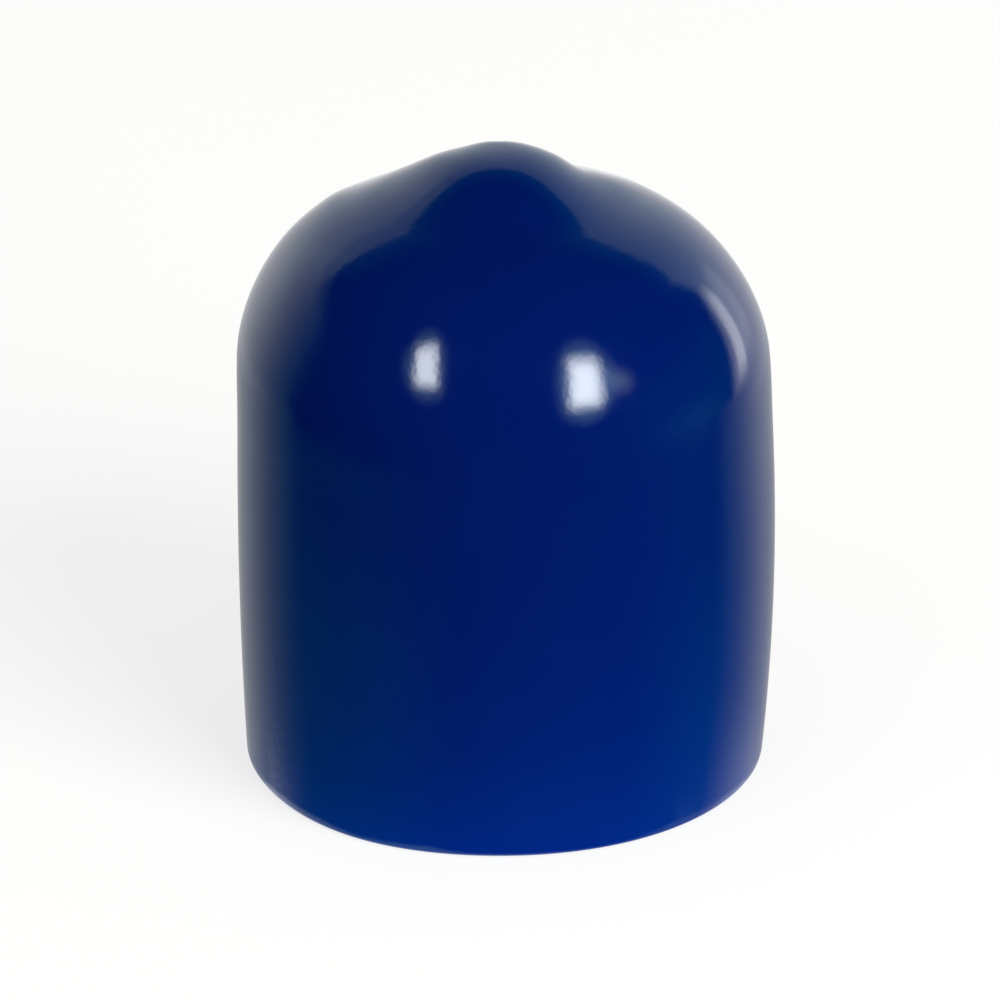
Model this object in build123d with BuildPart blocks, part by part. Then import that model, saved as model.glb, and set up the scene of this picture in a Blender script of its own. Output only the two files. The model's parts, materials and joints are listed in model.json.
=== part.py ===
from build123d import *

import os
from math import sqrt

# Vinyl cap, dip-moulded in one piece, for the end of a round tube or stud.
# It stands on its open rim: the rim lies on Z = 0, the closed end is up and Z is the axis.
# Sizes are in millimetres.

# Hollow: the form of the smooth mandrel that the cap was dipped on
bore_diameter = 12.7
inside_depth = 15.9
mandrel_edge_radius = 3.5
mandrel_crown_radius = 10.75

# Coat of vinyl: thin at the rim, fuller at the belly and over the closed end
rim_wall = 1.07
belly_bulge = 0.23
belly_height = 6.5
shoulder_wall = 1.2
crown_wall = 0.86
crown_radius = 30.0
lip_radius = 0.12

# Drip: the last of the liquid vinyl, gelled on the crown as the mandrel left the bath
drip_height = 1.14
drip_radius = 3.9
drip_blend_radius = 4.5
drip_lean = 1.9

# Sizes that follow from those above
bore_radius = bore_diameter / 2
rim_radius = bore_radius + rim_wall
belly_radius = rim_radius + belly_bulge
shoulder_radius = mandrel_edge_radius + shoulder_wall
crown_height = inside_depth + crown_wall
crown_centre_height = crown_height - crown_radius
mandrel_centre_height = inside_depth - mandrel_crown_radius

# The side is one long arc, upright at the belly and drawn in a little at the rim
side_radius = (belly_height**2 + belly_bulge**2) / (2 * belly_bulge)


def side_meets_crown():
    """Corner of the section where the side's arc crosses the crown's, before it is rounded."""
    side_centre = Vector(belly_radius - side_radius, belly_height)
    crown_centre = Vector(0, crown_centre_height)
    apart = crown_centre - side_centre
    along = (side_radius**2 - crown_radius**2 + apart.length**2) / (2 * apart.length)
    across = sqrt(side_radius**2 - along**2)
    corner = side_centre + apart.normalized() * along + apart.normalized().rotate(Axis.Z, 90) * across
    return corner.X, corner.Y


shoulder_corner = side_meets_crown()
edge_corner = (bore_radius, mandrel_centre_height + sqrt(mandrel_crown_radius**2 - bore_radius**2))

with BuildPart() as cap:
    # Outside of the coat: rim, barrelled side, rounded shoulder and shallow crown, turned about Z
    with BuildSketch(Plane.XZ) as coat_section:
        with BuildLine():
            Line((0, 0), (rim_radius, 0))
            ThreePointArc((rim_radius, 0), (belly_radius, belly_height), shoulder_corner)
            RadiusArc(shoulder_corner, (0, crown_height), -crown_radius)
            Line((0, crown_height), (0, 0))
        make_face()
        fillet(coat_section.vertices().sort_by_distance(shoulder_corner)[0], radius=shoulder_radius)
        fillet(coat_section.vertices().sort_by_distance((rim_radius, 0))[0], radius=lip_radius)
    revolve(axis=Axis.Z)

    # Drip: a low drop that leans back a little off the axis and flows into the crown all round
    crown_centre = Plane((0, 0, crown_centre_height)).rotated((-drip_lean, 0, 0))
    with Locations(crown_centre.offset(crown_radius + drip_height - drip_radius)):
        Sphere(drip_radius)
    fillet(cap.edges(Select.NEW), radius=drip_blend_radius)

    # Hollow left by the mandrel: straight bore, rounded edge and domed end
    with BuildSketch(Plane.XZ) as mandrel_section:
        with BuildLine():
            Line((0, 0), (bore_radius, 0))
            Line((bore_radius, 0), edge_corner)
            RadiusArc(edge_corner, (0, inside_depth), -mandrel_crown_radius)
            Line((0, inside_depth), (0, 0))
        make_face()
        fillet(mandrel_section.vertices().sort_by_distance(edge_corner)[0], radius=mandrel_edge_radius)
    revolve(axis=Axis.Z, mode=Mode.SUBTRACT)

cap.part.label = "cap"
os.makedirs("parts", exist_ok=True)
export_step(cap.part, "parts/cap.step")
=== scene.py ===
"""Looks of a vinyl cap: its dip-moulded form, its two skins of vinyl, and the studio that it stands in."""

import json
import logging
import math
from dataclasses import dataclass, field
from enum import Enum

import bmesh
import bpy
import numpy as np
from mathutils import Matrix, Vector

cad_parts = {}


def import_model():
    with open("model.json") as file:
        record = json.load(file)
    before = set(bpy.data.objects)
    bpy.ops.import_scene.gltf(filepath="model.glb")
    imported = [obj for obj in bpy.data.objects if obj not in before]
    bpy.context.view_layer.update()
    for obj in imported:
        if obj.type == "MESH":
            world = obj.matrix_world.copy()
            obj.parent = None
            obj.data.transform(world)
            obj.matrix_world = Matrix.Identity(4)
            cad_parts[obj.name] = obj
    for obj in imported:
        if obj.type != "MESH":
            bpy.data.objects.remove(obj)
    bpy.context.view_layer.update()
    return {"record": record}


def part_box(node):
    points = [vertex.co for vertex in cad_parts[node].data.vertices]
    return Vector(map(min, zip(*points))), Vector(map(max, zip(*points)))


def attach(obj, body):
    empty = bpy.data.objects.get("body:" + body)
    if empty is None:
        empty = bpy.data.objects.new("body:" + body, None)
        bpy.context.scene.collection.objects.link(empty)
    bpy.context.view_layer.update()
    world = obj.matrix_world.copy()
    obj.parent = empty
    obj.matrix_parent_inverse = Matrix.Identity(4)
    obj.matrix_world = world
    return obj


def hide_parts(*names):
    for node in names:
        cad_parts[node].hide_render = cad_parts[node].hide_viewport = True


LOG = logging.getLogger("vinyl_cap")
MM = 0.001


def linear(colour: str) -> tuple[float, float, float, float]:
    """Turn an sRGB hex colour into linear light.

    Args:
        colour: Six hex digits with a leading hash.

    Returns:
        Red, green, blue and an alpha of 1.
    """
    parts = [int(colour[i : i + 2], 16) / 255 for i in (1, 3, 5)]
    bent = [c / 12.92 if c <= 0.04045 else ((c + 0.055) / 1.055) ** 2.4 for c in parts]
    return bent[0], bent[1], bent[2], 1.0


def add_node(
    tree: bpy.types.NodeTree, kind: str, settings: dict | None = None, **links: bpy.types.NodeSocket
) -> bpy.types.Node:
    """Add a node, set it up and link it.

    Args:
        tree: The node tree that gets the node.
        kind: The node's type name.
        settings: Properties of the node by name, and sockets' values by index or by name in brackets.
        links: Output sockets by the name of the input that each goes to, with _ for a blank, or by i and
            its index.

    Returns:
        The new node.
    """
    node = tree.nodes.new(kind)
    for key, value in (settings or {}).items():
        if isinstance(key, int) or key.startswith("["):
            node.inputs[key if isinstance(key, int) else key[1:-1]].default_value = value
        else:
            setattr(node, key, value)
    for name, socket in links.items():
        place = int(name[1:]) if name[0] == "i" and name[1:].isdigit() else name.replace("_", " ")
        tree.links.new(socket, node.inputs[place])
    return node


def direction(azimuth: float, elevation: float) -> Vector:
    """Direction from the cap, in degrees: azimuth from +Y towards +X, elevation from the table upward."""
    turn, up = math.radians(azimuth), math.radians(elevation)
    return Vector((math.cos(up) * math.sin(turn), math.cos(up) * math.cos(turn), math.sin(up)))


def arc(centre: tuple[float, float], radius: float, start: float, end: float, step: float) -> np.ndarray:
    """Points along an arc of the section.

    Args:
        centre: The arc's centre, as radius and height.
        radius: The arc's radius.
        start: Angle of the first point, from the radial direction, in radians.
        end: Angle of the last point.
        step: About how far apart the points lie.

    Returns:
        One row of radius and height for each point.
    """
    count = max(2, math.ceil(abs(end - start) * radius / step) + 1)
    angle = np.linspace(start, end, count)
    return np.stack([centre[0] + radius * np.cos(angle), centre[1] + radius * np.sin(angle)], axis=1)


def line(start: tuple[float, float], end: tuple[float, float], step: float) -> np.ndarray:
    """Points along a straight stretch of the section, from start to end, about step apart."""
    count = max(2, math.ceil(math.dist(start, end) / step) + 1)
    return np.linspace(start, end, count)


def rolled_centre(
    centre_a: tuple[float, float], reach_a: float, centre_b: tuple[float, float], reach_b: float
) -> tuple[float, float]:
    """Centre of a ball that touches two arcs of the section, on the side away from the axis.

    Args:
        centre_a: Centre of the first arc.
        reach_a: How far the ball's centre lies from it.
        centre_b: Centre of the second arc.
        reach_b: How far the ball's centre lies from that one.

    Returns:
        The ball's centre, as radius and height.
    """
    apart = np.subtract(centre_b, centre_a)
    distance = float(np.hypot(*apart))
    along = (reach_a**2 - reach_b**2 + distance**2) / (2 * distance)
    across = math.sqrt(reach_a**2 - along**2)
    towards = apart / distance
    sideways = np.array([towards[1], -towards[0]])
    if sideways[0] < 0:
        sideways = -sideways
    centre = np.array(centre_a) + towards * along + sideways * across
    return float(centre[0]), float(centre[1])


class Skin(Enum):
    """The two skins of the one vinyl coat, by material index."""

    FLOWED = 0
    MANDREL = 1


@dataclass(frozen=True)
class DipMouldedVinyl:
    """Soft PVC, gelled from a liquid dip and fused in an oven: one deep colour under a faint orange peel.

    Fields are the colour, the share by which the pigment varies, the roughness and how much it varies,
    the orange peel's width and depth, the index of refraction, how wide the clouds are in which pigment
    and roughness vary, and the range in which most of a noise lies.
    """

    name: str
    colour: str
    pigment_change: float
    roughness: float
    roughness_change: float
    peel_width: float
    peel_depth: float
    ior: float = 1.54
    cloud_width: float = 2.5 * MM
    noise_range: tuple[float, float] = (0.3, 0.7)

    def material(self) -> bpy.types.Material:
        """Build the vinyl's material.

        Returns:
            A material whose colour, roughness and relief vary a little over the surface.
        """
        made = bpy.data.materials.new(self.name)
        made.use_nodes = True
        tree = made.node_tree
        tree.nodes.clear()
        place = add_node(tree, "ShaderNodeTexCoord").outputs["Object"]
        cloud = {"[Scale]": 1 / self.cloud_width, "[Detail]": 3.0}
        clouds = add_node(tree, "ShaderNodeTexNoise", cloud, Vector=place)
        red, green, blue, _ = linear(self.colour)
        low, high = 1 - self.pigment_change, 1 + self.pigment_change
        pigment = add_node(
            tree,
            "ShaderNodeMix",
            {
                "data_type": "RGBA",
                6: (red * low, green * low, blue * low, 1.0),
                7: (red * high, green * high, blue * high, 1.0),
            },
            Factor=clouds.outputs["Fac"],
        )
        smear = add_node(
            tree,
            "ShaderNodeMapRange",
            {
                "[From Min]": self.noise_range[0],
                "[From Max]": self.noise_range[1],
                "[To Min]": self.roughness - self.roughness_change,
                "[To Max]": self.roughness + self.roughness_change,
            },
            Value=clouds.outputs["Fac"],
        )
        fine = {"[Scale]": 1 / self.peel_width, "[Detail]": 2.0}
        peel = add_node(tree, "ShaderNodeTexNoise", fine, Vector=place)
        depth = {"[Strength]": 1.0, "[Distance]": self.peel_depth}
        relief = add_node(tree, "ShaderNodeBump", depth, Height=peel.outputs["Fac"])
        shader = add_node(
            tree,
            "ShaderNodeBsdfPrincipled",
            {"[IOR]": self.ior},
            Base_Color=pigment.outputs[2],
            Roughness=smear.outputs["Result"],
            Normal=relief.outputs["Normal"],
        )
        add_node(tree, "ShaderNodeOutputMaterial", Surface=shader.outputs["BSDF"])
        return made


@dataclass(frozen=True)
class Ripple:
    """A faint swell of the gelled coat, or a hollow where its height is below nothing.

    It has its place to the right and to the back of the axis, its height, and how far it spreads each way.
    """

    right: float
    back: float
    height: float
    width: float
    breadth: float

    def rise(self, across: np.ndarray, along: np.ndarray) -> np.ndarray:
        """Height of the swell at places on the crown."""
        off = ((across - self.right) / self.width) ** 2 + ((along - self.back) / self.breadth) ** 2
        return self.height * np.exp(-off)


@dataclass
class Drip:
    """The last of the liquid vinyl, gelled on the crown as a low, lopsided bell.

    Its top leans back, its front runs out in a long skirt and its back is steep. Faint swells and hollows
    lie about its foot, the largest on the left. Places on the crown are measured along its surface, which
    is taken for this as a ball about a root on the axis. Fullness and flare are the powers that give the
    bell's section its round top and its long foot.
    """

    root_height: float = 5.15 * MM
    root_depth: float = 12.0 * MM
    height: float = 1.142 * MM
    fullness: float = 2.09
    flare: float = 3.81
    lean: float = math.radians(0.25)
    lean_back: float = math.radians(7.4)
    right_reach: float = 4.97 * MM
    left_reach: float = 5.4 * MM
    front_reach: float = 7.23 * MM
    back_reach: float = 3.2 * MM
    three_sided: float = 0.25 * MM
    ripples: tuple[Ripple, ...] = (
        Ripple(-5.27 * MM, 0.0, 0.12 * MM, 1.98 * MM, 3.2 * MM),
        Ripple(-4.6 * MM, 2.2 * MM, 0.045 * MM, 0.5 * MM, 1.4 * MM),
        Ripple(-0.85 * MM, 2.2 * MM, -0.06 * MM, 0.55 * MM, 1.2 * MM),
        Ripple(2.2 * MM, 2.4 * MM, -0.085 * MM, 0.42 * MM, 1.3 * MM),
        Ripple(3.45 * MM, 2.2 * MM, 0.045 * MM, 0.6 * MM, 1.3 * MM),
    )

    def top(self) -> np.ndarray:
        """Direction of the drip's top from the root, of length 1 upward."""
        return np.array([math.tan(self.lean), math.tan(self.lean_back), 1.0])

    def foot(self, turn: np.ndarray) -> np.ndarray:
        """Reach of the foot about the top, as a smooth round of the four reaches.

        Args:
            turn: Angles about the top, counted from +X.

        Returns:
            The reach at each angle.
        """
        mean = (self.right_reach + self.left_reach + self.front_reach + self.back_reach) / 4
        sideways = (self.right_reach - self.left_reach) / 2
        backwards = (self.back_reach - self.front_reach) / 2
        oval = (self.right_reach + self.left_reach - self.front_reach - self.back_reach) / 4
        round_once = sideways * np.cos(turn) + backwards * np.sin(turn)
        return mean + round_once + oval * np.cos(2 * turn) + self.three_sided * np.sin(3 * turn)

    def lift(self, points: np.ndarray) -> np.ndarray:
        """Raise the drip on points of the bare coat.

        Args:
            points: Points on the crown or the shoulder.

        Returns:
            The same points, moved out from the root.
        """
        rays = points - np.array([0.0, 0.0, self.root_height])
        rays /= np.linalg.norm(rays, axis=1, keepdims=True)
        top = self.top()
        apart = np.arccos(np.clip(rays @ top / np.linalg.norm(top), -1, 1)) * self.root_depth
        turn = np.arctan2(rays[:, 1] - rays[:, 2] * top[1], rays[:, 0] - rays[:, 2] * top[0])
        share = np.minimum(apart / self.foot(turn), 1.0)
        bell = self.height * (1 - share**self.fullness) ** self.flare
        across, along = self.root_depth * rays[:, 0], self.root_depth * rays[:, 1]
        faint = sum(ripple.rise(across, along) for ripple in self.ripples)
        return points + rays * (bell + faint)[:, None]


@dataclass
class CapForm:
    """The cap's one wall: an outside that flowed freely, and an inside that a mandrel formed.

    Each step is about how far apart the rings of the mesh lie there.
    """

    belly_radius: float
    bore_radius: float
    drip: Drip = field(default_factory=Drip)
    inside_depth: float = 15.9 * MM
    rim_wall: float = 1.07 * MM
    belly_height: float = 6.5 * MM
    shoulder_radius: float = 4.7 * MM
    crown_radius: float = 30.0 * MM
    crown_wall: float = 0.86 * MM
    mandrel_crown_radius: float = 10.75 * MM
    mandrel_edge_radius: float = 3.5 * MM
    lip_radius: float = 0.13 * MM
    mouth_radius: float = 0.06 * MM
    bend_radius: float = 250.0 * MM
    bend_height: float = 5.4 * MM
    sag: float = 0.04 * MM
    sag_width: float = 1.2 * MM
    sag_from: float = 14.6 * MM
    sag_to: float = 12.0 * MM
    rim_squareness: float = 0.04 * MM
    rim_bulge: float = 0.14 * MM
    rim_bulge_turn: float = math.radians(-124)
    rim_bulge_spread: float = math.radians(24)
    rim_depth: float = 6.0 * MM
    patch_reach: float = 1.9 * MM
    sides: int = 256
    crown_step: float = 0.08 * MM
    shoulder_step: float = 0.1 * MM
    side_step: float = 0.2 * MM
    lip_step: float = 0.04 * MM
    mouth_step: float = 0.02 * MM
    bore_step: float = 0.4 * MM
    dome_step: float = 0.15 * MM

    def crown_centre(self) -> tuple[float, float]:
        """Centre of the arc of the bare crown, outside."""
        return 0.0, self.inside_depth + self.crown_wall - self.crown_radius

    def dome_centre(self) -> tuple[float, float]:
        """Centre of the arc that the mandrel's crown left inside."""
        return 0.0, self.inside_depth - self.mandrel_crown_radius

    def patch_angle(self, radius: float) -> float:
        """Angle from the axis where the rings of a dome give way to the square patch."""
        return math.asin(self.patch_reach / radius)

    def outside(self) -> np.ndarray:
        """Section of the outside, from the patch on the crown down to the flat of the rim.

        Returns:
            One row of radius and height for each ring.
        """
        rim_radius = self.bore_radius + self.rim_wall
        bulge = self.belly_radius - rim_radius
        side_radius = (self.belly_height**2 + bulge**2) / (2 * bulge)
        side_centre = (self.belly_radius - side_radius, self.belly_height)
        crown, crown_radius = self.crown_centre(), self.crown_radius
        shoulder = rolled_centre(
            crown, crown_radius - self.shoulder_radius, side_centre, side_radius - self.shoulder_radius
        )
        start = math.pi / 2 - self.patch_angle(crown_radius)
        seam = math.atan2(shoulder[1] - crown[1], shoulder[0])
        top_of_side = math.atan2(shoulder[1] - side_centre[1], shoulder[0] - side_centre[0])
        lip_down = self.belly_height - self.lip_radius
        lip_across = math.sqrt((side_radius - self.lip_radius) ** 2 - lip_down**2)
        lip = (side_centre[0] + lip_across, self.lip_radius)
        end_of_side = -math.atan2(lip_down, lip_across)
        return np.vstack(
            [
                arc(crown, crown_radius, start, seam, self.crown_step),
                arc(shoulder, self.shoulder_radius, seam, top_of_side, self.shoulder_step)[1:],
                arc(side_centre, side_radius, top_of_side, end_of_side, self.side_step)[1:],
                arc(lip, self.lip_radius, end_of_side, -math.pi / 2, self.lip_step)[1:],
            ]
        )

    def inside(self) -> np.ndarray:
        """Section of the inside, from the flat of the rim up to the patch under the crown.

        Returns:
            One row of radius and height for each ring.
        """
        dome, dome_radius = self.dome_centre(), self.mandrel_crown_radius
        edge_x = self.bore_radius - self.mandrel_edge_radius
        edge_y = dome[1] + math.sqrt((dome_radius - self.mandrel_edge_radius) ** 2 - edge_x**2)
        seam = math.atan2(edge_y - dome[1], edge_x)
        mouth = (self.bore_radius + self.mouth_radius, self.mouth_radius)
        foot, top = (self.bore_radius, self.mouth_radius), (self.bore_radius, edge_y)
        end = math.pi / 2 - self.patch_angle(dome_radius)
        return np.vstack(
            [
                arc(mouth, self.mouth_radius, -math.pi / 2, -math.pi, self.mouth_step),
                line(foot, top, self.bore_step)[1:],
                arc((edge_x, edge_y), self.mandrel_edge_radius, 0.0, seam, self.dome_step)[1:],
                arc(dome, dome_radius, seam, end, self.dome_step)[1:],
            ]
        )

    def ring(self, radius: float, height: float) -> np.ndarray:
        """Points round the axis at one radius and height."""
        turn = np.arange(self.sides) * 2 * math.pi / self.sides
        return np.stack([radius * np.cos(turn), radius * np.sin(turn), np.full(self.sides, height)], axis=1)

    def patch(
        self, centre: tuple[float, float], radius: float
    ) -> tuple[np.ndarray, list[list[int]], list[int]]:
        """Square grid of quads laid over the pole of a dome, so that no faces meet in a fan there.

        Args:
            centre: Centre of the dome, as radius and height.
            radius: Radius of the dome.

        Returns:
            The points, the faces, and the indices of the points on the patch's edge in a ring's order.
        """
        half = self.sides // 8
        steps = np.arange(-half, half + 1)
        across, along = (grid.ravel() for grid in np.meshgrid(steps, steps))
        square = np.maximum(abs(across), abs(along))
        safe = np.maximum(square, 1)
        right = (abs(across) >= abs(along)) & (across > 0)
        left = (abs(across) >= abs(along)) & (across < 0) & ~right
        top = (along > 0) & ~right & ~left
        quarter = math.pi / 4
        turn = np.select(
            [right, top, left],
            [quarter * along / safe, quarter * (2 - across / safe), quarter * (4 - along / safe)],
            quarter * (6 + across / safe),
        )
        polar = self.patch_angle(radius) * square / half
        reach, height = radius * np.sin(polar), centre[1] + radius * np.cos(polar)
        points = np.stack([reach * np.cos(turn), reach * np.sin(turn), height], axis=1)
        width = 2 * half + 1
        faces = [
            [row * width + col, row * width + col + 1, (row + 1) * width + col + 1, (row + 1) * width + col]
            for row in range(2 * half)
            for col in range(2 * half)
        ]
        edge = [i for i in range(len(points)) if square[i] == half]
        edge.sort(key=lambda i: turn[i] % (2 * math.pi))
        return points, faces, edge

    def settle(self, points: np.ndarray) -> np.ndarray:
        """Give the soft wall the shape that it stands in.

        It is bent a little towards -X. The coat ran from the shoulder to the top of the side before it
        gelled. The rim is not quite round: a little square, and pushed out at its front left.

        Args:
            points: Points of the true round form.

        Returns:
            The points as they stand.
        """
        moved = points.copy()
        height = points[:, 2]
        turn = np.arctan2(points[:, 1], points[:, 0])
        ran_off = np.exp(-(((height - self.sag_from) / self.sag_width) ** 2))
        ran_to = np.exp(-(((height - self.sag_to) / self.sag_width) ** 2))
        square = self.rim_squareness * (1 - np.cos(4 * turn)) / 2
        bulge = self.rim_bulge * np.exp(-(((turn - self.rim_bulge_turn) / self.rim_bulge_spread) ** 2))
        near_rim = np.clip(1 - height / self.rim_depth, 0, 1) ** 2
        outwards = self.sag * (ran_to - ran_off) + (square + bulge) * near_rim
        moved[:, 0] += outwards * np.cos(turn)
        moved[:, 1] += outwards * np.sin(turn)
        moved[:, 0] -= (height - self.bend_height) ** 2 / (2 * self.bend_radius)
        return moved

    def mesh(self) -> bpy.types.Mesh:
        """Build the closed wall.

        Returns:
            A mesh of quads whose faces carry the index of their skin.
        """
        outside, inside = self.outside(), self.inside()
        rings = [self.drip.lift(self.ring(r, z)) for r, z in outside]
        rings += [self.ring(r, z) for r, z in inside]
        outer_patch, outer_faces, outer_edge = self.patch(self.crown_centre(), self.crown_radius)
        inner_patch, inner_faces, inner_edge = self.patch(self.dome_centre(), self.mandrel_crown_radius)
        points = np.vstack([self.drip.lift(outer_patch), inner_patch, *rings[1:-1]])
        inner_start = len(outer_patch)
        ring_start = inner_start + len(inner_patch)
        loops = [outer_edge]
        for i in range(len(rings) - 2):
            first = ring_start + i * self.sides
            loops.append(list(range(first, first + self.sides)))
        loops.append([inner_start + i for i in inner_edge])
        faces = list(outer_faces)
        skins = [Skin.FLOWED.value] * len(outer_faces)
        for i, (upper, lower) in enumerate(zip(loops, loops[1:])):
            skin = Skin.FLOWED if i < len(outside) else Skin.MANDREL
            for j in range(self.sides):
                k = (j + 1) % self.sides
                faces.append([upper[j], lower[j], lower[k], upper[k]])
                skins.append(skin.value)
        faces += [[inner_start + i for i in reversed(face)] for face in inner_faces]
        skins += [Skin.MANDREL.value] * len(inner_faces)
        made = bpy.data.meshes.new("cap_wall")
        made.from_pydata(self.settle(points).tolist(), [], faces)
        made.polygons.foreach_set("material_index", skins)
        made.shade_smooth()
        made.update()
        return made


@dataclass
class VinylCap:
    """The cap: its form and its two skins."""

    form: CapForm
    outer: DipMouldedVinyl
    inner: DipMouldedVinyl

    def build(self) -> bpy.types.Object:
        """Make the cap, dress it and put it in the place of its CAD node.

        Returns:
            The cap's object.
        """
        mesh = self.form.mesh()
        mesh.materials.append(self.outer.material())
        mesh.materials.append(self.inner.material())
        made = bpy.data.objects.new("cap_vinyl", mesh)
        bpy.context.scene.collection.objects.link(made)
        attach(made, "root")
        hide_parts("cap")
        return made


class Way(Enum):
    """Angles that tell where a direction of the room lies, in degrees."""

    TURN = "from the back, +Y, towards the right, +X"
    ASIDE = "from the back, to either side"
    UP = "above the table"
    BELOW = "below the upper edge of the sweep"
    PAST = "past the right end of the sweep"
    CLOSE = "below the edge of the lit table near the cap"


class Join(Enum):
    """How the parts of a field work together."""

    SUM = "ADD"
    PRODUCT = "MULTIPLY"


@dataclass(frozen=True)
class Ramp:
    """A value that changes between two angles, in degrees, and stays the same outside them."""

    way: Way
    start: float
    end: float
    at_start: float
    at_end: float
    smooth: bool = False


@dataclass(frozen=True)
class Field:
    """A value for each direction of the room: ramps, and what else is given, added up or multiplied."""

    join: Join
    ramps: tuple[Ramp, ...] = ()

    def build(
        self,
        tree: bpy.types.NodeTree,
        angles: dict[Way, bpy.types.NodeSocket],
        *others: bpy.types.NodeSocket,
    ) -> bpy.types.NodeSocket:
        """Build the field's nodes.

        Args:
            tree: The room's node tree.
            angles: The angles that the ramps go by.
            others: Values that are joined with the ramps.

        Returns:
            The joined value.
        """
        values = list(others)
        for ramp in self.ramps:
            kind = {"interpolation_type": "SMOOTHSTEP" if ramp.smooth else "LINEAR"}
            limits = {"[From Min]": ramp.start, "[From Max]": ramp.end}
            ends = {"[To Min]": ramp.at_start, "[To Max]": ramp.at_end}
            made = add_node(tree, "ShaderNodeMapRange", {**kind, **limits, **ends}, Value=angles[ramp.way])
            values.append(made.outputs["Result"])
        total = values[0]
        for value in values[1:]:
            both = add_node(tree, "ShaderNodeMath", {"operation": self.join.value}, i0=total, i1=value)
            total = both.outputs[0]
        return total


@dataclass(frozen=True)
class SweepLight:
    """Light of the white table and of the paper sweep behind the cap, as the gloss sees it.

    It is brightest where the table meets the sweep and dims upward, as the levels say by elevation. It
    fades out to the left, and to the right it ends at a straight edge whose upper corner is cut away. A
    seam dims its middle. Its dim parts are a cool white. So are a fringe past its upper edge, a mist to
    the right of it, and the low sides of the room. The table right behind the cap is white, and close to
    the cap it is lit all round. At the front that light starts with a green tint.
    """

    upper_edge: Field = Field(
        Join.SUM,
        (
            Ramp(Way.TURN, -85, -65, -6, 0),
            Ramp(Way.TURN, -65, -47, -3.3, 0),
            Ramp(Way.TURN, -47, -38, 41.2, 43.6),
            Ramp(Way.TURN, 8, 32, 0, -2.3),
            Ramp(Way.TURN, 32, 50, 0, -5.6),
        ),
    )
    upper_softness: Field = Field(Join.SUM, (Ramp(Way.TURN, -62, -50, 11, 1),))
    upper_overlap: float = 0.5
    levels: tuple[tuple[float, float], ...] = (
        (-30, 0.4),
        (-23, 0.47),
        (-17, 0.78),
        (-9, 0.86),
        (0, 0.9),
        (10, 0.78),
        (20, 0.64),
        (28, 0.5),
        (33, 0.41),
        (37, 0.33),
        (40, 0.27),
        (44, 0.24),
        (45, 0.0),
    )
    across: Field = Field(
        Join.PRODUCT, (Ramp(Way.TURN, -86, -30, 0, 1, smooth=True), Ramp(Way.ASIDE, 3, 13, 1.3, 1))
    )
    spill: Field = Field(
        Join.PRODUCT,
        (
            Ramp(Way.TURN, -95, -42, 0, 0.28, smooth=True),
            Ramp(Way.TURN, -38, -15, 1, 0),
            Ramp(Way.UP, -10, 8, 0, 1),
        ),
    )
    seam: Field = Field(Join.PRODUCT, (Ramp(Way.TURN, -21, -14, 1, 0), Ramp(Way.BELOW, 5.5, 7, 1, 0)))
    seam_depth: float = 0.3
    right_cut: Field = Field(Join.SUM, (Ramp(Way.UP, -5, 16, 66.5, 59.5), Ramp(Way.UP, 16, 24, 0, -7)))
    right_end: Field = Field(Join.PRODUCT, (Ramp(Way.PAST, -4, 2.5, 1, 0, smooth=True),))
    right_fade: Field = Field(Join.PRODUCT, (Ramp(Way.TURN, 35, 82, 1, 0, smooth=True),))
    on_table: Field = Field(Join.PRODUCT, (Ramp(Way.UP, -14, -9, 1, 0),))
    dim: float = 0.08
    veil: Field = Field(Join.PRODUCT, (Ramp(Way.ASIDE, 20, 85, 0.02, 0.16),))
    fringe: Field = Field(
        Join.PRODUCT,
        (
            Ramp(Way.BELOW, -9, -1.5, 0, 1),
            Ramp(Way.TURN, -25, 15, 0.09, 0.13),
            Ramp(Way.TURN, -56, -46, 0, 1),
            Ramp(Way.TURN, 48, 62, 1, 0),
            Ramp(Way.UP, 0, 12, 0, 1),
        ),
    )
    mist: Field = Field(
        Join.PRODUCT,
        (
            Ramp(Way.TURN, 58, 68, 0, 0.1),
            Ramp(Way.TURN, 110, 135, 1, 0),
            Ramp(Way.UP, -22, -14, 0, 1),
            Ramp(Way.UP, 14, 26, 1, 0),
        ),
    )
    low_sides: Field = Field(
        Join.PRODUCT,
        (
            Ramp(Way.ASIDE, 45, 80, 0, 0.14, smooth=True),
            Ramp(Way.TURN, 85, 135, 1, 0, smooth=True),
            Ramp(Way.TURN, -165, -115, 0, 1, smooth=True),
            Ramp(Way.UP, -26, -19, 1, 0),
        ),
    )
    behind: Field = Field(Join.PRODUCT, (Ramp(Way.UP, -31, -27.5, 1, 0), Ramp(Way.ASIDE, 58, 80, 0.35, 0)))
    near_edge: Field = Field(
        Join.SUM,
        (
            Ramp(Way.ASIDE, 60, 130, -30.3, -32.4),
            Ramp(Way.TURN, 95, 135, 0, -14),
            Ramp(Way.TURN, -178, -150, -14, 0),
            Ramp(Way.TURN, -115, -85, 0, 3.4),
            Ramp(Way.TURN, -50, -30, 0, -3.4),
        ),
    )
    near_level: Field = Field(
        Join.SUM, (Ramp(Way.TURN, 30, 70, 0.65, 0.35), Ramp(Way.TURN, 130, 160, 0, 0.3))
    )
    near_start: Field = Field(Join.PRODUCT, (Ramp(Way.CLOSE, 0, 3, 0, 1),))
    near_tinted: Field = Field(
        Join.PRODUCT, (Ramp(Way.ASIDE, 60, 125, 0, 1), Ramp(Way.CLOSE, 10, 24, 1, 0))
    )
    near_tint: tuple[float, float, float, float] = (0.62, 1.25, 0.8, 1.0)

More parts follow.
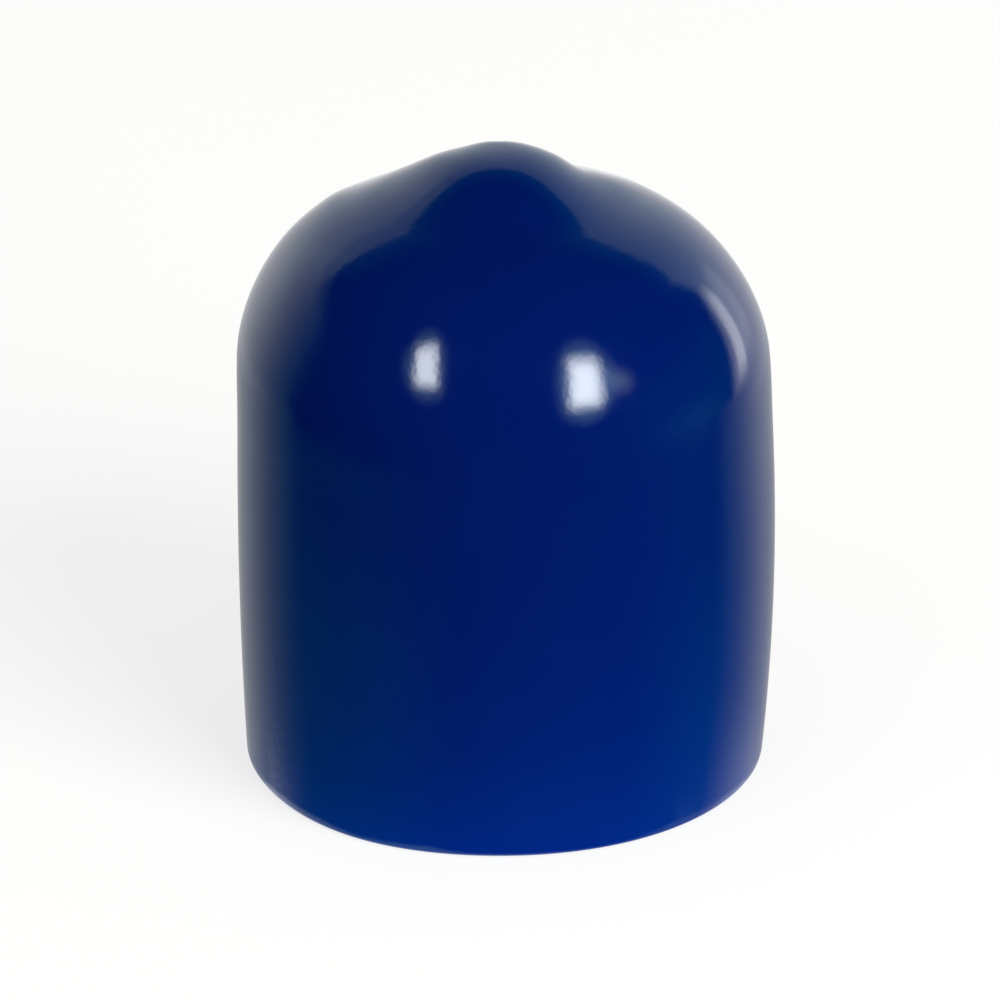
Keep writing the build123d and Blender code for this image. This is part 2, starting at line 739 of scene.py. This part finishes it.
    def angles(self, tree: bpy.types.NodeTree) -> dict[Way, bpy.types.NodeSocket]:
        """Work out the angles of each direction.

        Args:
            tree: The room's node tree.

        Returns:
            The angles in degrees.
        """
        place = add_node(tree, "ShaderNodeTexCoord").outputs["Object"]
        unit = add_node(tree, "ShaderNodeVectorMath", {"operation": "NORMALIZE"}, i0=place)
        split = add_node(tree, "ShaderNodeSeparateXYZ", Vector=unit.outputs[0]).outputs
        turn = add_node(tree, "ShaderNodeMath", {"operation": "ARCTAN2"}, i0=split["X"], i1=split["Y"])
        up = add_node(tree, "ShaderNodeMath", {"operation": "ARCSINE"}, i0=split["Z"])
        turn = add_node(tree, "ShaderNodeMath", {"operation": "DEGREES"}, i0=turn.outputs[0]).outputs[0]
        up = add_node(tree, "ShaderNodeMath", {"operation": "DEGREES"}, i0=up.outputs[0]).outputs[0]
        aside = add_node(tree, "ShaderNodeMath", {"operation": "ABSOLUTE"}, i0=turn).outputs[0]
        found = {Way.TURN: turn, Way.UP: up, Way.ASIDE: aside}
        upper = self.upper_edge.build(tree, found)
        cut = self.right_cut.build(tree, found)
        near = self.near_edge.build(tree, found)
        for way, more, less in ((Way.BELOW, upper, up), (Way.PAST, turn, cut), (Way.CLOSE, near, up)):
            apart = add_node(tree, "ShaderNodeMath", {"operation": "SUBTRACT"}, i0=more, i1=less)
            found[way] = apart.outputs[0]
        return found

    def level(
        self, tree: bpy.types.NodeTree, angles: dict[Way, bpy.types.NodeSocket]
    ) -> bpy.types.NodeSocket:
        """Build the light of the sweep by elevation alone.

        Args:
            tree: The room's node tree.
            angles: The angles of each direction.

        Returns:
            The light, from the levels.
        """
        lowest, highest = self.levels[0][0], self.levels[-1][0]
        span = {"[From Min]": lowest, "[From Max]": highest}
        share = add_node(tree, "ShaderNodeMapRange", span, Value=angles[Way.UP]).outputs["Result"]
        made = add_node(tree, "ShaderNodeValToRGB", Fac=share)
        stops = made.color_ramp.elements
        for at, _ in self.levels[1:-1]:
            stops.new((at - lowest) / (highest - lowest))
        for stop, (_, grey) in zip(stops, self.levels):
            stop.color = (grey, grey, grey, 1.0)
        return made.outputs["Color"]

    def white(
        self, tree: bpy.types.NodeTree, angles: dict[Way, bpy.types.NodeSocket]
    ) -> bpy.types.NodeSocket:
        """Build the white light of the sweep and of the table in front of it.

        Args:
            tree: The room's node tree.
            angles: The angles of each direction.

        Returns:
            The light, which is 0 outside the sweep.
        """
        softness = self.upper_softness.build(tree, angles)
        shut = {"[From Min]": -self.upper_overlap}
        under = add_node(tree, "ShaderNodeMapRange", shut, Value=angles[Way.BELOW], From_Max=softness)
        seam = self.seam.build(tree, angles)
        dimming = {"[To Min]": 1.0, "[To Max]": 1 - self.seam_depth}
        fold = add_node(tree, "ShaderNodeMapRange", dimming, Value=seam)
        end = self.right_end.build(tree, angles)
        fade = self.right_fade.build(tree, angles)
        on_table = self.on_table.build(tree, angles)
        right = add_node(tree, "ShaderNodeMix", {"data_type": "FLOAT"}, Factor=on_table, A=end, B=fade)
        sheet = self.across.build(tree, angles, self.level(tree, angles))
        whole = Field(Join.SUM).build(tree, angles, sheet, self.spill.build(tree, angles))
        limits = (node.outputs["Result"] for node in (under, fold, right))
        return Field(Join.PRODUCT).build(tree, angles, whole, *limits)

    def cool(
        self,
        tree: bpy.types.NodeTree,
        angles: dict[Way, bpy.types.NodeSocket],
        white: bpy.types.NodeSocket,
    ) -> bpy.types.NodeSocket:
        """Build the light that only green and blue have.

        Args:
            tree: The room's node tree.
            angles: The angles of each direction.
            white: The sweep's white light.

        Returns:
            The light.
        """
        lit = add_node(tree, "ShaderNodeMapRange", {"[From Max]": self.dim}, Value=white)
        unlit = {"[From Max]": self.dim, "[To Min]": 1.0, "[To Max]": 0.0}
        free = add_node(tree, "ShaderNodeMapRange", unlit, Value=white).outputs["Result"]
        parts = (
            self.veil.build(tree, angles, lit.outputs["Result"]),
            self.fringe.build(tree, angles),
            self.mist.build(tree, angles, free),
            self.low_sides.build(tree, angles, free),
        )
        return Field(Join.SUM).build(tree, angles, *parts)

    def build(self, tree: bpy.types.NodeTree) -> bpy.types.NodeSocket:
        """Build the whole light.

        Args:
            tree: The room's node tree.

        Returns:
            The light's colour in each direction, where 1 is white.
        """
        angles = self.angles(tree)
        white = self.white(tree, angles)
        warm = Field(Join.SUM).build(tree, angles, white, self.behind.build(tree, angles))
        cold = Field(Join.SUM).build(tree, angles, warm, self.cool(tree, angles, white))
        far = add_node(tree, "ShaderNodeCombineColor", Red=warm, Green=cold, Blue=cold)
        near = self.near_start.build(tree, angles, self.near_level.build(tree, angles))
        tinted = self.near_tinted.build(tree, angles)
        shades = {"data_type": "RGBA", 6: (1.0, 1.0, 1.0, 1.0), 7: self.near_tint}
        shade = add_node(tree, "ShaderNodeMix", shades, Factor=tinted).outputs[2]
        table = add_node(tree, "ShaderNodeVectorMath", {"operation": "MULTIPLY"}, i0=shade, i1=near)
        both = {"i0": far.outputs["Color"], "i1": table.outputs[0]}
        return add_node(tree, "ShaderNodeVectorMath", {"operation": "ADD"}, **both).outputs[0]


@dataclass(frozen=True)
class Softbox:
    """A glowing card with soft edges and a round halo, seen in the gloss alone.

    Its corners are directions from the cap in degrees, azimuth from +Y towards +X and then elevation,
    in order round the card. The core is the share of the card that glows fully. The halo has a strength
    of its own, is as many times larger than the card as its size says, and has its share of red.
    """

    name: str
    corners: tuple[tuple[float, float], ...]
    strength: float = 0.0
    core: float = 0.4
    halo: float = 0.0
    halo_size: float = 1.0
    halo_red: float = 1.0

    def face(self) -> list[Vector]:
        """Place the corners of the card with its halo.

        Returns:
            The corners at a distance of about 1 from the cap.
        """
        found = [direction(azimuth, elevation) for azimuth, elevation in self.corners]
        middle = sum(found, Vector()) / 4
        return [middle + (corner - middle) * self.halo_size for corner in found]


@dataclass(frozen=True)
class Lamp:
    """A soft lamp that lights the cap and the floor but isn't seen in the gloss.

    It has its direction from the cap in degrees, the light that it gives a face turned to it, where 1
    shows a colour as it is written, and its share of blue.
    """

    name: str
    azimuth: float
    elevation: float
    level: float
    blue: float = 1.0


@dataclass
class Studio:
    """A white table and sweep, soft lights, the dark room that the gloss reflects, and the camera.

    The table has two looks. To the cap it is white paint with a cool glow about the foot. To the camera
    it is nearly as white as the photograph's ground, with the cap's shadow on it.
    """

    foot_radius: float
    look_at: Vector = Vector((-0.189 * MM, 0, 7.6 * MM))
    elevation: float = math.radians(24.5)
    distance: float = 225 * MM
    lens: float = 284.9
    clip: tuple[float, float] = (0.01, 10.0)
    fill: float = 0.3
    table_reach: float = 2.0
    table_drop: float = 0.01 * MM
    table_paint: str = "#DADADA"
    shown_paint: str = "#A8A8A8"
    shown_glow: float = 0.73
    glow_middle: Vector = Vector((2.5 * MM, -3 * MM, 0))
    glow_reach: float = 7 * MM
    glow_level: float = 2.1
    glow_colour: str = "#00FFE7"
    room_radius: float = 0.8
    sweep: SweepLight = SweepLight()
    card_distance: float = 0.5
    card_gap: float = 10 * MM
    card_middle: Vector = Vector((0, 0, 10 * MM))
    card_rounding: float = 0.82
    softboxes: tuple[Softbox, ...] = (
        Softbox(
            "right_softbox",
            ((153.5, 15.5), (133.3, 13.5), (119.3, 45.5), (141.8, 52)),
            strength=15.5,
            core=0.32,
            halo=3.8,
            halo_size=1.65,
            halo_red=0.55,
        ),
        Softbox(
            "right_lobe",
            ((131, 17), (113, 20), (115, 37), (130, 37)),
            halo=1.5,
            halo_size=1.15,
            halo_red=0.75,
        ),
        Softbox(
            "left_softbox",
            ((-152.3, 27.5), (-137.3, 24.5), (-122.5, 51), (-134.5, 60.5)),
            strength=12.0,
            core=0.32,
            halo=2.6,
            halo_size=1.7,
            halo_red=0.6,
        ),
        Softbox("rear_strip", ((51.5, -12), (65, -12), (54.5, 23), (45, 23)), strength=1.9),
        Softbox("rear_glow", ((36, -10), (67, -10), (58, 20), (32, 20)), strength=0.5),
        Softbox(
            "right_haze",
            ((112, -20), (74, -20), (74, 2), (112, 2)),
            halo=0.16,
            halo_size=1.3,
            halo_red=0.2,
        ),
    )
    lamp_distance: float = 0.5
    lamp_size: float = 0.35
    lamps: tuple[Lamp, ...] = (
        Lamp("right_lamp", 136, 29, 0.84, blue=0.9),
        Lamp("left_lamp", -137, 42, 0.1),
    )

    def link(self, name: str, data: bpy.types.ID) -> bpy.types.Object:
        """Add an object of the stage to the scene.

        Args:
            name: The object's name.
            data: Its mesh, light or camera.

        Returns:
            The object.
        """
        made = bpy.data.objects.new(name, data)
        bpy.context.scene.collection.objects.link(made)
        return made

    def new_tree(self, name: str) -> tuple[bpy.types.Material, bpy.types.NodeTree]:
        """Start a material with an empty tree, whose light is found by plain sampling alone.

        Args:
            name: The material's name.

        Returns:
            The material and its tree.
        """
        material = bpy.data.materials.new(name)
        material.use_nodes = True
        material.cycles.emission_sampling = "NONE"
        material.node_tree.nodes.clear()
        return material, material.node_tree

    def camera(self) -> None:
        """Stand the camera at the photograph's angle."""
        made = self.link("camera", bpy.data.cameras.new("camera"))
        back = Vector((0, -math.cos(self.elevation), math.sin(self.elevation)))
        made.location = self.look_at + back * self.distance
        made.rotation_mode = "QUATERNION"
        made.rotation_quaternion = (-back).to_track_quat("-Z", "Y")
        made.data.lens = self.lens
        made.data.clip_start, made.data.clip_end = self.clip
        bpy.context.scene.camera = made

    def world(self) -> None:
        """Light the object evenly, and show white where the camera, gloss or glass sees past everything."""
        made = bpy.data.worlds.new("studio")
        bpy.context.scene.world = made
        made.use_nodes = True
        made.cycles.sampling_method = "NONE"
        tree = made.node_tree
        tree.nodes.clear()
        path = add_node(tree, "ShaderNodeLightPath").outputs
        most = {"operation": "MAXIMUM"}
        seen = add_node(tree, "ShaderNodeMath", most, i0=path["Is Camera Ray"], i1=path["Is Glossy Ray"])
        seen = add_node(tree, "ShaderNodeMath", most, i0=seen.outputs[0], i1=path["Is Transmission Ray"])
        fill = add_node(tree, "ShaderNodeBackground", {"[Color]": (1, 1, 1, 1), "[Strength]": self.fill})
        white = add_node(tree, "ShaderNodeBackground", {"[Color]": (1, 1, 1, 1), "[Strength]": 1.0})
        parts = {"i0": seen.outputs[0], "i1": fill.outputs[0], "i2": white.outputs[0]}
        both = add_node(tree, "ShaderNodeMixShader", **parts)
        add_node(tree, "ShaderNodeOutputWorld", Surface=both.outputs[0])

    def table(self) -> None:
        """Lay the white table, which keeps the cap's shadow."""
        half = self.table_reach
        mesh = bpy.data.meshes.new("floor")
        corners = [(-half, -half, 0), (half, -half, 0), (half, half, 0), (-half, half, 0)]
        mesh.from_pydata(corners, [], [[0, 1, 2, 3]])
        made = self.link("floor", mesh)
        made.location.z = -self.table_drop
        made.visible_glossy = False
        material, tree = self.new_tree("white_table")
        place = add_node(tree, "ShaderNodeTexCoord").outputs["Object"]
        shift = {"operation": "SUBTRACT", 1: self.glow_middle}
        off = add_node(tree, "ShaderNodeVectorMath", shift, i0=place).outputs[0]
        reach = add_node(tree, "ShaderNodeVectorMath", {"operation": "LENGTH"}, i0=off).outputs["Value"]
        limits = {"[From Min]": self.foot_radius, "[From Max]": self.foot_radius + self.glow_reach}
        ends = {"[To Min]": self.glow_level, "[To Max]": 0.0}
        near = add_node(tree, "ShaderNodeMapRange", {**limits, **ends}, Value=reach).outputs["Result"]
        paint = add_node(tree, "ShaderNodeBsdfDiffuse", {"[Color]": linear(self.table_paint)})
        glow = add_node(tree, "ShaderNodeEmission", {"[Color]": linear(self.glow_colour)}, Strength=near)
        lit = add_node(tree, "ShaderNodeAddShader", i0=paint.outputs[0], i1=glow.outputs[0])
        shade = add_node(tree, "ShaderNodeBsdfDiffuse", {"[Color]": linear(self.shown_paint)})
        white = add_node(tree, "ShaderNodeEmission", {"[Strength]": self.shown_glow})
        shown = add_node(tree, "ShaderNodeAddShader", i0=shade.outputs[0], i1=white.outputs[0])
        seen = add_node(tree, "ShaderNodeLightPath").outputs["Is Camera Ray"]
        both = add_node(tree, "ShaderNodeMixShader", i0=seen, i1=lit.outputs[0], i2=shown.outputs[0])
        add_node(tree, "ShaderNodeOutputMaterial", Surface=both.outputs[0])
        mesh.materials.append(material)

    def gloss_only(self, made: bpy.types.Object) -> None:
        """Let an object of the stage be seen in gloss alone, with no shadow.

        Args:
            made: The object.
        """
        for ray in ("camera", "diffuse", "transmission", "volume_scatter", "shadow"):
            setattr(made, "visible_" + ray, False)

    def room(self) -> None:
        """Hang the room that the gloss reflects: the sweep behind the cap, and dark walls elsewhere."""
        mesh = bpy.data.meshes.new("room")
        form = bmesh.new()
        bmesh.ops.create_icosphere(form, subdivisions=4, radius=self.room_radius)
        form.to_mesh(mesh)
        form.free()
        made = self.link("room", mesh)
        material, tree = self.new_tree("studio_room")
        light = add_node(tree, "ShaderNodeEmission", Color=self.sweep.build(tree))
        add_node(tree, "ShaderNodeOutputMaterial", Surface=light.outputs[0])
        mesh.materials.append(material)
        self.gloss_only(made)

    def card(self, box: Softbox) -> bpy.types.Material:
        """Make the glowing material of a softbox.

        Its card fades towards a square edge with rounded corners, and its halo fades in a circle.

        Args:
            box: The softbox.

        Returns:
            The material, which lets through what lies behind it.
        """
        material, tree = self.new_tree(box.name)
        place = add_node(tree, "ShaderNodeUVMap", {"uv_map": "spread"}).outputs["UV"]
        sides = add_node(tree, "ShaderNodeVectorMath", {"operation": "ABSOLUTE"}, i0=place).outputs[0]
        split = add_node(tree, "ShaderNodeSeparateXYZ", Vector=sides).outputs
        circle = add_node(tree, "ShaderNodeVectorMath", {"operation": "LENGTH"}, i0=place).outputs["Value"]
        rounding = {"operation": "MULTIPLY", 1: self.card_rounding}
        corner = add_node(tree, "ShaderNodeMath", rounding, i0=circle).outputs[0]
        most = {"operation": "MAXIMUM"}
        square = add_node(tree, "ShaderNodeMath", most, i0=split["X"], i1=split["Y"]).outputs[0]
        square = add_node(tree, "ShaderNodeMath", most, i0=square, i1=corner).outputs[0]
        shown = add_node(tree, "ShaderNodeBsdfTransparent")
        card = (square, box.core, 1.0, box.strength, 1.0)
        halo = (circle, 0.0, box.halo_size, box.halo, box.halo_red)
        for off, start, end, strength, red in (card, halo):
            limits = {"[From Min]": start / box.halo_size, "[From Max]": end / box.halo_size}
            ends = {"interpolation_type": "SMOOTHSTEP", "[To Min]": strength, "[To Max]": 0.0}
            level = add_node(tree, "ShaderNodeMapRange", {**ends, **limits}, Value=off).outputs["Result"]
            light = add_node(tree, "ShaderNodeEmission", {"[Color]": (red, 1.0, 1.0, 1.0)}, Strength=level)
            shown = add_node(tree, "ShaderNodeAddShader", i0=light.outputs[0], i1=shown.outputs[0])
        add_node(tree, "ShaderNodeOutputMaterial", Surface=shown.outputs[0])
        return material

    def hang(self, box: Softbox, order: int) -> None:
        """Hang a softbox in front of the room, for the gloss alone.

        Args:
            box: The softbox.
            order: Its number, so that none lies in the same place as another.
        """
        far = self.card_distance + order * self.card_gap
        mesh = bpy.data.meshes.new(box.name)
        mesh.from_pydata([self.card_middle + corner * far for corner in box.face()], [], [[0, 1, 2, 3]])
        spread = mesh.uv_layers.new(name="spread").data
        for loop, place in zip(spread, ((-1, -1), (1, -1), (1, 1), (-1, 1))):
            loop.uv = place
        mesh.materials.append(self.card(box))
        self.gloss_only(self.link(box.name, mesh))

    def light(self, lamp: Lamp) -> None:
        """Hang a lamp, turned to the cap.

        Args:
            lamp: The lamp.
        """
        way = direction(lamp.azimuth, lamp.elevation)
        data = bpy.data.lights.new(lamp.name, "AREA")
        data.size = self.lamp_size
        data.color = (1.0, 1.0, lamp.blue)
        data.energy = lamp.level * (math.pi * self.lamp_distance) ** 2
        made = self.link(lamp.name, data)
        made.location = way * self.lamp_distance
        made.rotation_mode = "QUATERNION"
        made.rotation_quaternion = way.to_track_quat("Z", "Y")
        made.visible_glossy = False
        made.visible_camera = False

    def build(self) -> None:
        """Put up the whole studio."""
        self.camera()
        self.world()
        self.table()
        self.room()
        for order, box in enumerate(self.softboxes):
            self.hang(box, order)
        for lamp in self.lamps:
            self.light(lamp)
        LOG.info("studio: %d softboxes, %d lamps", len(self.softboxes), len(self.lamps))


def main() -> None:
    """Build the cap in the place of its CAD node, then the studio around it."""
    logging.basicConfig(level=logging.INFO, format="%(name)s: %(message)s")
    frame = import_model()
    low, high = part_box("cap")
    mounts = {mount["name"]: mount for mount in frame["record"]["mounts"]}
    form = CapForm(belly_radius=(high.y - low.y) / 2, bore_radius=mounts["bore"]["dims"]["r_mm"] * MM)
    # The free side of the coat levelled as it gelled, which gives the eye a deep gloss
    outer = DipMouldedVinyl(
        "dip_moulded_pvc_flowed",
        colour="#001968",
        pigment_change=0.05,
        roughness=0.09,
        roughness_change=0.02,
        peel_width=0.22 * MM,
        peel_depth=0.002 * MM,
    )
    # The side against the mandrel took its matt face, which gives the eye a satin
    inner = DipMouldedVinyl(
        "dip_moulded_pvc_mandrel",
        colour="#001968",
        pigment_change=0.06,
        roughness=0.38,
        roughness_change=0.05,
        peel_width=0.12 * MM,
        peel_depth=0.004 * MM,
    )
    cap = VinylCap(form, outer, inner).build()
    LOG.info("%s: %d faces", cap.name, len(cap.data.polygons))
    Studio(foot_radius=form.bore_radius + form.rim_wall).build()
    bpy.context.scene.view_settings.view_transform = "Standard"


if __name__ == "__main__":
    main()
